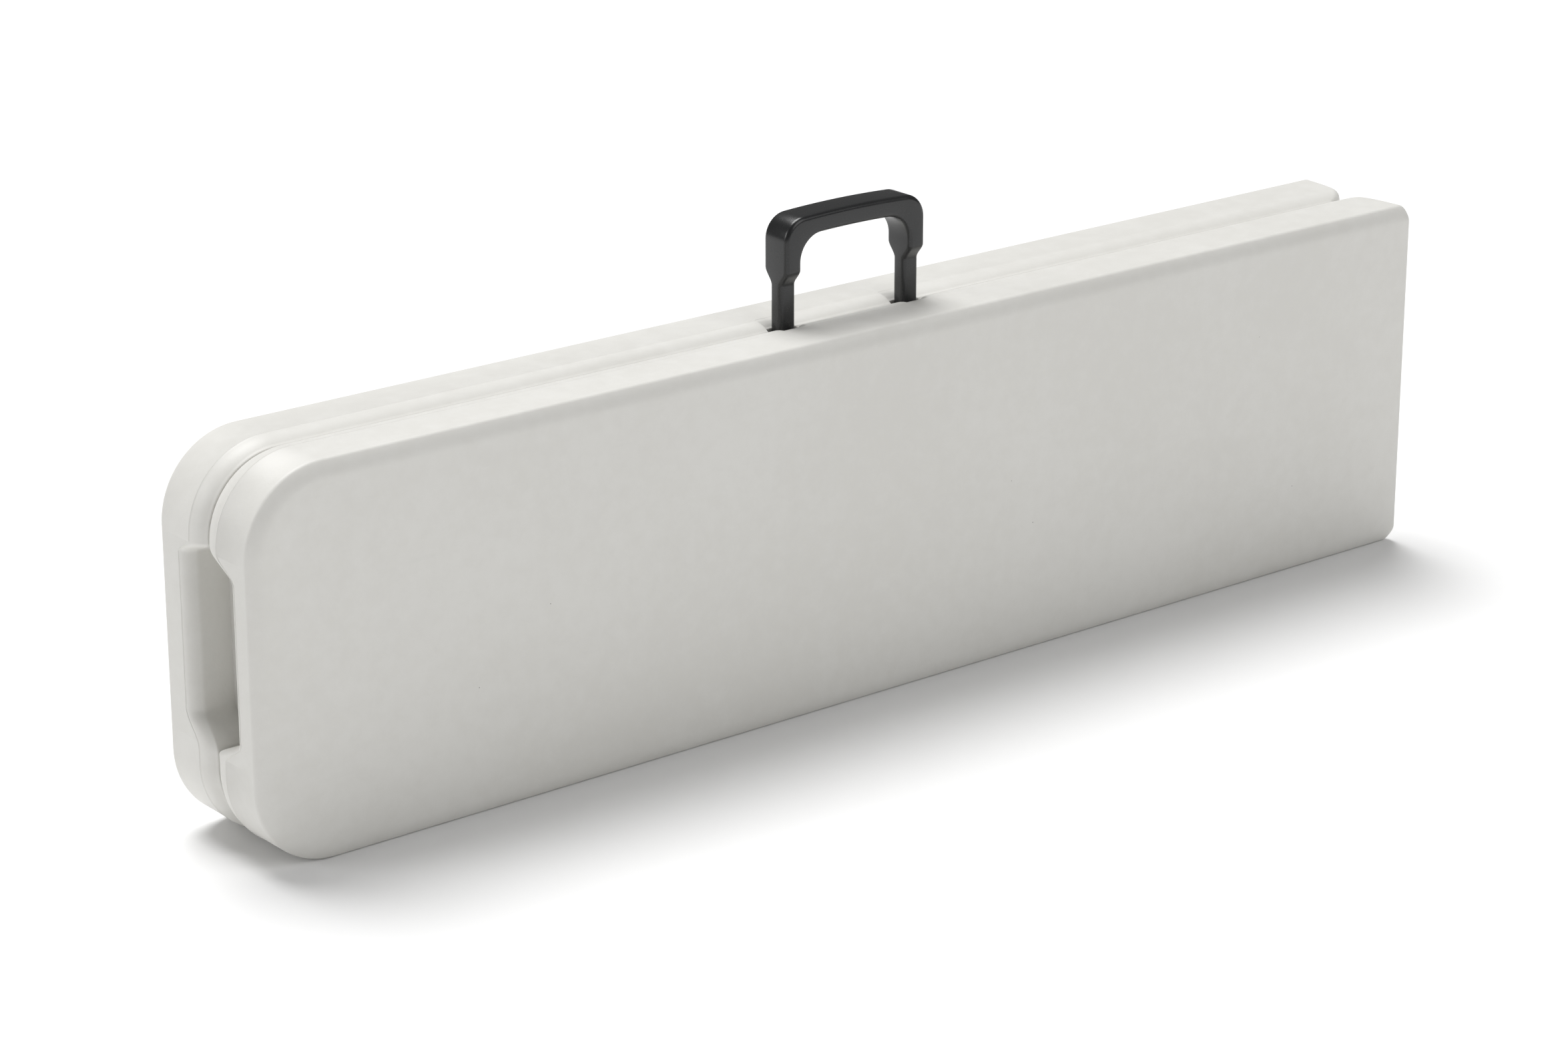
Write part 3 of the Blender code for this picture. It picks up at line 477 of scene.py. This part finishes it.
def make_half(side):
    bm = half_shell(side)
    bm.normal_update()
    ridge = FACE + BEAD + 0.00045
    for v in bm.verts:
        if abs(v.co.y + ridge) < 1e-5 and v.co.x < RIGHT - 0.001:
            v.co += v.normal * FLASH

    end = [f for f in bm.faces if min(v.co.x for v in f.verts) > RIGHT - 1e-5]
    edges = {e for f in end for e in f.edges}
    bmesh.ops.bevel(
        bm,
        geom=[*edges],
        offset=0.0012,
        offset_type="OFFSET",
        segments=3,
        profile=0.5,
        affect="EDGES",
        clamp_overlap=True,
        material=-1,
    )
    rounds = [RIGHT - t for t in (0.0018, 0.0025, 0.0035, 0.0048, HINGE_ROUND)]
    cut(bm, bm.faces[:], rounds, 0)
    near = [f for f in bm.faces if min(v.co.x for v in f.verts) > RIGHT - 0.005]
    steps = (0.0003, 0.0008, 0.0015, 0.0023, 0.0032, 0.0043, 0.0056, 0.0072, 0.0092)
    steps += (0.0115, 0.018, 0.023, 0.029)
    cut(bm, near, [-(FACE + r) for r in steps], 1)
    outer = [f for f in bm.faces if max(v.co.x for v in f.verts) < LEFT + 0.06]
    heights = spread(SLOT_LOW - 0.007, SLOT_LOW + 0.015, 0.0008)
    heights += spread(SLOT_LOW + 0.022, SLOT_HIGH - 0.016, 0.008)
    heights += spread(SLOT_HIGH - 0.009, SLOT_HIGH + 0.007, 0.0008)
    cut(bm, outer, heights, 2)
    upper = [f for f in bm.faces if min(v.co.z for v in f.verts) > WIDTH - SKIRT - 1e-4]
    for sign in (-1, 1):
        s = HANDLE_X + sign * (HANDLE_HALF - GRIP_THICK / 2)
        for turn in (-1, 1):
            stops = [s + turn * (NOTCH_HALF + e) for e in (-0.0012, -0.0006, 0.0, 0.0008)]
            cut(bm, [f for f in upper if f.is_valid], sorted(stops), 0)
            upper = [f for f in bm.faces if min(v.co.z for v in f.verts) > WIDTH - SKIRT - 1e-4]

    span = ROLL_START - FACE
    for v in bm.verts:
        if v.co.x < LEFT + END_WALL + 1e-4 and SLOT_LOW - 0.01 < v.co.z < SLOT_HIGH + 0.01:
            inner = v.co.x > LEFT + END_WALL - 1e-4
            above = -v.co.y - FACE
            sink(v, scoop(side, v.co.z), FLOOR - FACE if inner else span)
            soften_slot(side, v, above)
        if v.co.z > WIDTH - SKIRT - 1e-4:
            off = min(abs(v.co.x - HANDLE_X - sign * (HANDLE_HALF - GRIP_THICK / 2)) for sign in (-1, 1))
            deep = (NOTCH_DEEP - FACE) * (1 - between(NOTCH_HALF - 0.0012, NOTCH_HALF + 0.0004, off))
            if deep > 0:
                sink(v, deep, NOTCH_SPAN)
        t = RIGHT - v.co.x
        if t < HINGE_ROUND + 0.0005:
            drop = HINGE_ROUND - math.sqrt(max(0.0, HINGE_ROUND**2 - max(0.0, HINGE_ROUND - t) ** 2))
            in_from_rim = MIDDLE - abs(v.co.z - MIDDLE)
            shift = drop * max(0.0, 1 - in_from_rim / ROLL_WIDE)
            v.co.z -= math.copysign(shift, v.co.z - MIDDLE)
            d = -v.co.y
            v.co.x -= END_DRAFT * (OUTER - d) + NOSE * math.exp(-d / NOSE_FADE)
    if side == "rear":
        bmesh.ops.scale(bm, vec=(1, -1, 1), verts=bm.verts)
        bmesh.ops.reverse_faces(bm, faces=bm.faces)

    crooked = [f for f in bm.faces if len(f.verts) > 4 or f.calc_center_median().x > RIGHT - 0.06]
    bmesh.ops.triangulate(bm, faces=crooked)
    solid = loose(f"{side}_blank", bm)
    cutters = []
    for edge in ("lower", "upper"):
        low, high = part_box(f"hinge_strap_{side}_{edge}")
        tool = bmesh.new()
        bmesh.ops.create_cube(tool, size=1.0)
        sign = -1 if side == "front" else 1
        deep = abs(low.y if side == "front" else high.y) + 0.0009
        for v in tool.verts:
            inside = v.co.x < 0
            v.co.x = HOLLOW_END - 0.002 if inside else RIGHT + 0.002
            shallow = deep if inside else STRAP_EYE_DEEP
            v.co.y = sign * (shallow if v.co.y * sign > 0 else -0.002)
            v.co.z = low.z - 0.0003 if v.co.z < 0 else high.z + 0.0003
        bmesh.ops.recalc_face_normals(tool, faces=tool.faces)
        cutters.append(loose(f"{side}_{edge}_tool", tool))
    bm = carve(solid, cutters)
    name, body, node = f"{side}_moulded_half", f"{side}_half", f"top_{side}"
    return piece(name, bm, moulded, body, "moulded_plastic", node, sharp=38)


def handle_shape():
    """The grip and its two straps as one square bar with rounded long edges."""
    bm = bmesh.new()
    half, inner = HANDLE_HALF, HANDLE_HALF - GRIP_THICK
    outline = [(-half, TOE), (-half, GRIP_TOP), (half, GRIP_TOP), (half, TOE)]
    under = GRIP_TOP - GRIP_THICK
    outline += [(inner, TOE), (inner, under), (-inner, under), (-inner, TOE)]
    verts = [bm.verts.new((HANDLE_X + a, GRIP_DEPTH / 2, z)) for a, z in outline]
    bm.faces.new(verts)
    for pair, radius in ((verts[1:3], 0.0145), (verts[5:7], 0.016)):
        bmesh.ops.bevel(
            bm,
            geom=pair,
            offset=radius,
            offset_type="OFFSET",
            segments=14,
            profile=0.5,
            affect="VERTICES",
            material=-1,
        )
    made = bmesh.ops.extrude_face_region(bm, geom=bm.faces[:], use_keep_orig=True)
    moved = [g for g in made["geom"] if isinstance(g, bmesh.types.BMVert)]
    bmesh.ops.translate(bm, verts=moved, vec=(0, -GRIP_DEPTH, 0))
    bmesh.ops.recalc_face_normals(bm, faces=bm.faces)
    bmesh.ops.bevel(
        bm,
        geom=[e for e in bm.edges if e.calc_face_angle(0) > math.radians(50)],
        offset=EDGE_ROUND,
        offset_type="OFFSET",
        segments=7,
        profile=0.5,
        affect="EDGES",
        clamp_overlap=False,
        material=-1,
    )
    return bm


def make_handle():
    bm = handle_shape()
    inner = HANDLE_HALF - GRIP_THICK
    cut(bm, bm.faces[:], [TOE + 0.0050, TOE + 0.0056], 2)
    cut(bm, bm.faces[:], spread(SHOULDER_Z - 0.002, SHOULDER_Z + SHOULDER + 0.002, 0.0008), 2)
    cut(bm, bm.faces[:], [HANDLE_X + a for a in spread(-inner + 0.003, inner - 0.003, 0.006)], 0)
    for v in bm.verts:
        narrow = 1 - between(SHOULDER_Z, SHOULDER_Z + SHOULDER, v.co.z)
        reach = (GRIP_DEPTH - STRAP_DEPTH) / 2
        v.co.y -= math.copysign(min(abs(v.co.y), reach * narrow), v.co.y)
        a = v.co.x - HANDLE_X
        if v.co.z > SHOULDER_Z + SHOULDER:
            v.co.z += CROWN * (1 - (a / HANDLE_HALF) ** 2)
        if v.co.z < TOE + 0.0053:
            middle = math.copysign(HANDLE_HALF - GRIP_THICK / 2, a)
            v.co.x = HANDLE_X + middle + (a - middle) * 0.020 / GRIP_THICK
    return piece("grip_handle", bm, black, "handle", "black_plastic", "carry_handle", sharp=45)


# Steel parts


def softened(node, look, body, slot, width, segments=2):
    """A node's own shape with its flats joined and its edges eased."""
    source = frame["nodes"][node]
    bm = bmesh.new()
    bm.from_mesh(source.data)
    bm.transform(source.matrix_world)
    bmesh.ops.remove_doubles(bm, verts=bm.verts, dist=1e-5)
    bmesh.ops.dissolve_limit(bm, angle_limit=math.radians(1), verts=bm.verts, edges=bm.edges)
    bmesh.ops.recalc_face_normals(bm, faces=bm.faces)
    bmesh.ops.bevel(
        bm,
        geom=[e for e in bm.edges if e.calc_face_angle(0) > math.radians(40)],
        offset=width,
        offset_type="OFFSET",
        segments=segments,
        profile=0.5,
        affect="EDGES",
        clamp_overlap=True,
        material=-1,
    )
    return piece(f"{node}_eased", bm, look, body, slot, node, sharp=40)


def turned_profile(points):
    """The outline of a turned solid as (height, radius), from its points in any order."""
    outline = [(min(points)[0], 0.0)]
    for height in sorted({h for h, r in points}):
        radii = sorted(r for h, r in points if h == height and r > 1e-5)
        if len(radii) > 1 and abs(outline[-1][1] - radii[-1]) < abs(outline[-1][1] - radii[0]):
            radii.reverse()
        outline += [(height, r) for r in radii]
    return outline + [(max(points)[0], 0.0)]


def turned(node, look, body, slot, axis, bored, width):
    """A node that is round about one axis, spun finely and with its edges eased."""
    low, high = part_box(node)
    centre = (low + high) / 2
    others = [k for k in range(3) if k != axis]
    points = set()
    for v in frame["nodes"][node].data.vertices:
        off = [v.co[k] - centre[k] for k in others]
        points.add((round(v.co[axis], 5), round(math.hypot(*off), 5)))
    outline = turned_profile(points)
    if bored:
        inner, outer = min(r for h, r in points), max(r for h, r in points)
        outline = [(low[axis], inner), (low[axis], outer), (high[axis], outer), (high[axis], inner)]
    bm = bmesh.new()
    verts = []
    for height, radius in outline:
        place = centre.copy()
        place[axis] = height
        place[others[0]] += radius
        verts.append(bm.verts.new(place))
    pairs = list(zip(verts, verts[1:])) + ([(verts[-1], verts[0])] if bored else [])
    edges = [bm.edges.new(pair) for pair in pairs]
    direction = Vector([1.0 if k == axis else 0.0 for k in range(3)])
    bmesh.ops.spin(
        bm,
        geom=[*verts, *edges],
        cent=centre,
        axis=direction,
        angle=2 * math.pi,
        steps=36,
        use_merge=True,
    )
    bmesh.ops.remove_doubles(bm, verts=bm.verts, dist=1e-6)
    bmesh.ops.recalc_face_normals(bm, faces=bm.faces)
    bmesh.ops.bevel(
        bm,
        geom=[e for e in bm.edges if e.calc_face_angle(0) > math.radians(50)],
        offset=width,
        offset_type="OFFSET",
        segments=2,
        profile=0.5,
        affect="EDGES",
        clamp_overlap=True,
        material=-1,
    )
    return piece(f"{node}_turned", bm, look, body, slot, node, sharp=50)


def bent_bar(start, end, low_z, high_z, y, radius, bend):
    """A round bar bent into a U: out from start, round two bends and back."""
    bm = bmesh.new()
    turn = Matrix.Translation((start, y, low_z)) @ Matrix.Rotation(math.pi / 2, 4, "Y")
    bmesh.ops.create_circle(bm, segments=28, radius=radius, matrix=turn)
    ring = bm.edges[:]

    def onward(edges, shift):
        made = bmesh.ops.extrude_edge_only(bm, edges=edges)["geom"]
        moved = [g for g in made if isinstance(g, bmesh.types.BMVert)]
        bmesh.ops.translate(bm, verts=moved, vec=shift)
        return [g for g in made if isinstance(g, bmesh.types.BMEdge) and all(v in moved for v in g.verts)]

    def round_bend(edges, centre):
        made = bmesh.ops.spin(
            bm,
            geom=edges,
            cent=centre,
            axis=(0, -1, 0),
            angle=math.pi / 2,
            steps=14,
        )["geom_last"]
        return [g for g in made if isinstance(g, bmesh.types.BMEdge)]

    ring = onward(ring, (end - bend - start, 0, 0))
    ring = round_bend(ring, (end - bend, y, low_z + bend))
    ring = onward(ring, (0, 0, high_z - low_z - 2 * bend))
    ring = round_bend(ring, (end - bend, y, high_z - bend))
    onward(ring, (start - end + bend, 0, 0))
    bmesh.ops.recalc_face_normals(bm, faces=bm.faces)
    return bm


def make_leg_frame(side):
    """The leg's bent tube, open at its ends."""
    low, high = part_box(f"leg_frame_{side}")
    middle = (low + high) / 2
    bm = bent_bar(low.x, high.x - TUBE, low.z + TUBE, high.z - TUBE, middle.y, TUBE, LEG_BEND)
    bmesh.ops.solidify(bm, geom=bm.faces[:], thickness=TUBE_WALL)
    bmesh.ops.recalc_face_normals(bm, faces=bm.faces)
    name, body, node = f"{side}_leg_tube", f"{side}_leg", f"leg_frame_{side}"
    piece(name, bm, coated, body, "powder_coated_steel", node, sharp=50)


def make_stay(side):
    """The stay's bent rod with its two eyes."""
    low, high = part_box(f"leg_stay_{side}")
    middle = (low + high) / 2
    pivot = low.x + EYE_R
    bars = [middle.z - STAY_WIDTH / 2, middle.z + STAY_WIDTH / 2]
    bm = bent_bar(pivot + EYE_R * 0.8, high.x - ROD, *bars, middle.y, ROD, STAY_BEND)
    for z in bars:
        turn = Matrix.Translation((pivot, middle.y, z))
        made = bmesh.ops.create_cone(
            bm,
            cap_ends=True,
            segments=32,
            radius1=EYE_R,
            radius2=EYE_R,
            depth=EYE_LENGTH,
            matrix=turn,
        )
        rims = {e for v in made["verts"] for e in v.link_edges if e.calc_face_angle(0) > 1}
        bmesh.ops.bevel(
            bm,
            geom=[*rims],
            offset=0.0006,
            offset_type="OFFSET",
            segments=2,
            profile=0.5,
            affect="EDGES",
            material=-1,
        )
    slot = NODE_SLOT[f"leg_stay_{side}"]
    piece(f"{side}_stay_rod", bm, LOOKS[slot], f"{side}_stay", slot, f"leg_stay_{side}", sharp=50)


LOOKS = {
    "moulded_plastic": moulded,
    "black_plastic": black,
    "powder_coated_steel": coated,
    "plated_steel": plated,
}
NODE_SLOT = {part["node"]: part["material_slot"] for part in frame["record"]["subparts"]}
BODIES = frame["record"]["behaviour"]["bodies"]
ROUND_ABOUT_Y = ("catch_screw", "rail_screw", "guide_rivet")
ROUND_ABOUT_Z = ("hinge_pin", "strap_rivet", "leg_pivot_rod", "leg_crossbar", "leg_bush", "foot_pad")
BORED = ("leg_bush", "foot_pad")
EASED = {"hinge_strap": 0.0005, "rail_": 0.0004, "handle_guide": 0.0006, "stay_catch": 0.0010}

make_half("front")
make_half("rear")
make_handle()
for side in ("front", "rear"):
    make_leg_frame(side)
    make_stay(side)
for node, slot in NODE_SLOT.items():
    body = next(name for name, held in BODIES.items() if node in held)
    look = LOOKS[slot]
    if node.startswith(ROUND_ABOUT_Y + ROUND_ABOUT_Z):
        axis = 1 if node.startswith(ROUND_ABOUT_Y) else 2
        turned(node, look, body, slot, axis, node.startswith(BORED), 0.0003)
    elif node.startswith(tuple(EASED)):
        width = next(w for start, w in EASED.items() if node.startswith(start))
        softened(node, look, body, slot, width)

for part in frame["record"]["subparts"]:
    shown = frame["nodes"][part["node"]].data
    shown.materials.clear()
    shown.materials.append(LOOKS[part["material_slot"]])


# Floor, light and camera


def floor():
    bm = bmesh.new()
    bmesh.ops.create_grid(bm, x_segments=1, y_segments=1, size=12.0)
    bmesh.ops.translate(bm, verts=bm.verts, vec=(0, 0, -0.0002))
    made = loose("floor", bm)
    look = Look("pale floor")
    look.set(Base_Color=(0.95, 0.95, 0.95, 1), Roughness=0.95)
    made.data.materials.append(look.material)


def sun(name, source, strength, spread_angle):
    """A broad, even light that arrives from a direction."""
    data = bpy.data.lights.new(name, "SUN")
    data.energy = strength
    data.angle = math.radians(spread_angle)
    lamp = bpy.data.objects.new(name, data)
    lamp.rotation_euler = Vector(source).to_track_quat("Z", "Y").to_euler()
    bpy.context.scene.collection.objects.link(lamp)


def studio():
    world = bpy.data.worlds.new("studio")
    world.use_nodes = True
    sky = world.node_tree.nodes["Background"]
    sky.inputs["Color"].default_value = (1.0, 1.0, 1.0, 1)
    sky.inputs["Strength"].default_value = 0.14
    bpy.context.scene.world = world
    bpy.context.scene.view_settings.view_transform = "Standard"
    sun("overhead", (0.05, 0.42, 1.0), 3.0, 38)
    sun("front", (0.30, -1.0, 0.75), 0.80, 45)
    sun("left", (-1.0, 0.45, 0.45), 0.62, 26)

    data = bpy.data.cameras.new("camera")
    data.lens = 97.0
    data.sensor_width = 36.0
    camera = bpy.data.objects.new("camera", data)
    camera.location = (-1.6079, -1.9366, 0.9808)
    camera.rotation_euler = (math.radians(90 - 19.307), 0, math.radians(-38.86))
    bpy.context.scene.collection.objects.link(camera)
    bpy.context.scene.camera = camera


floor()
studio()
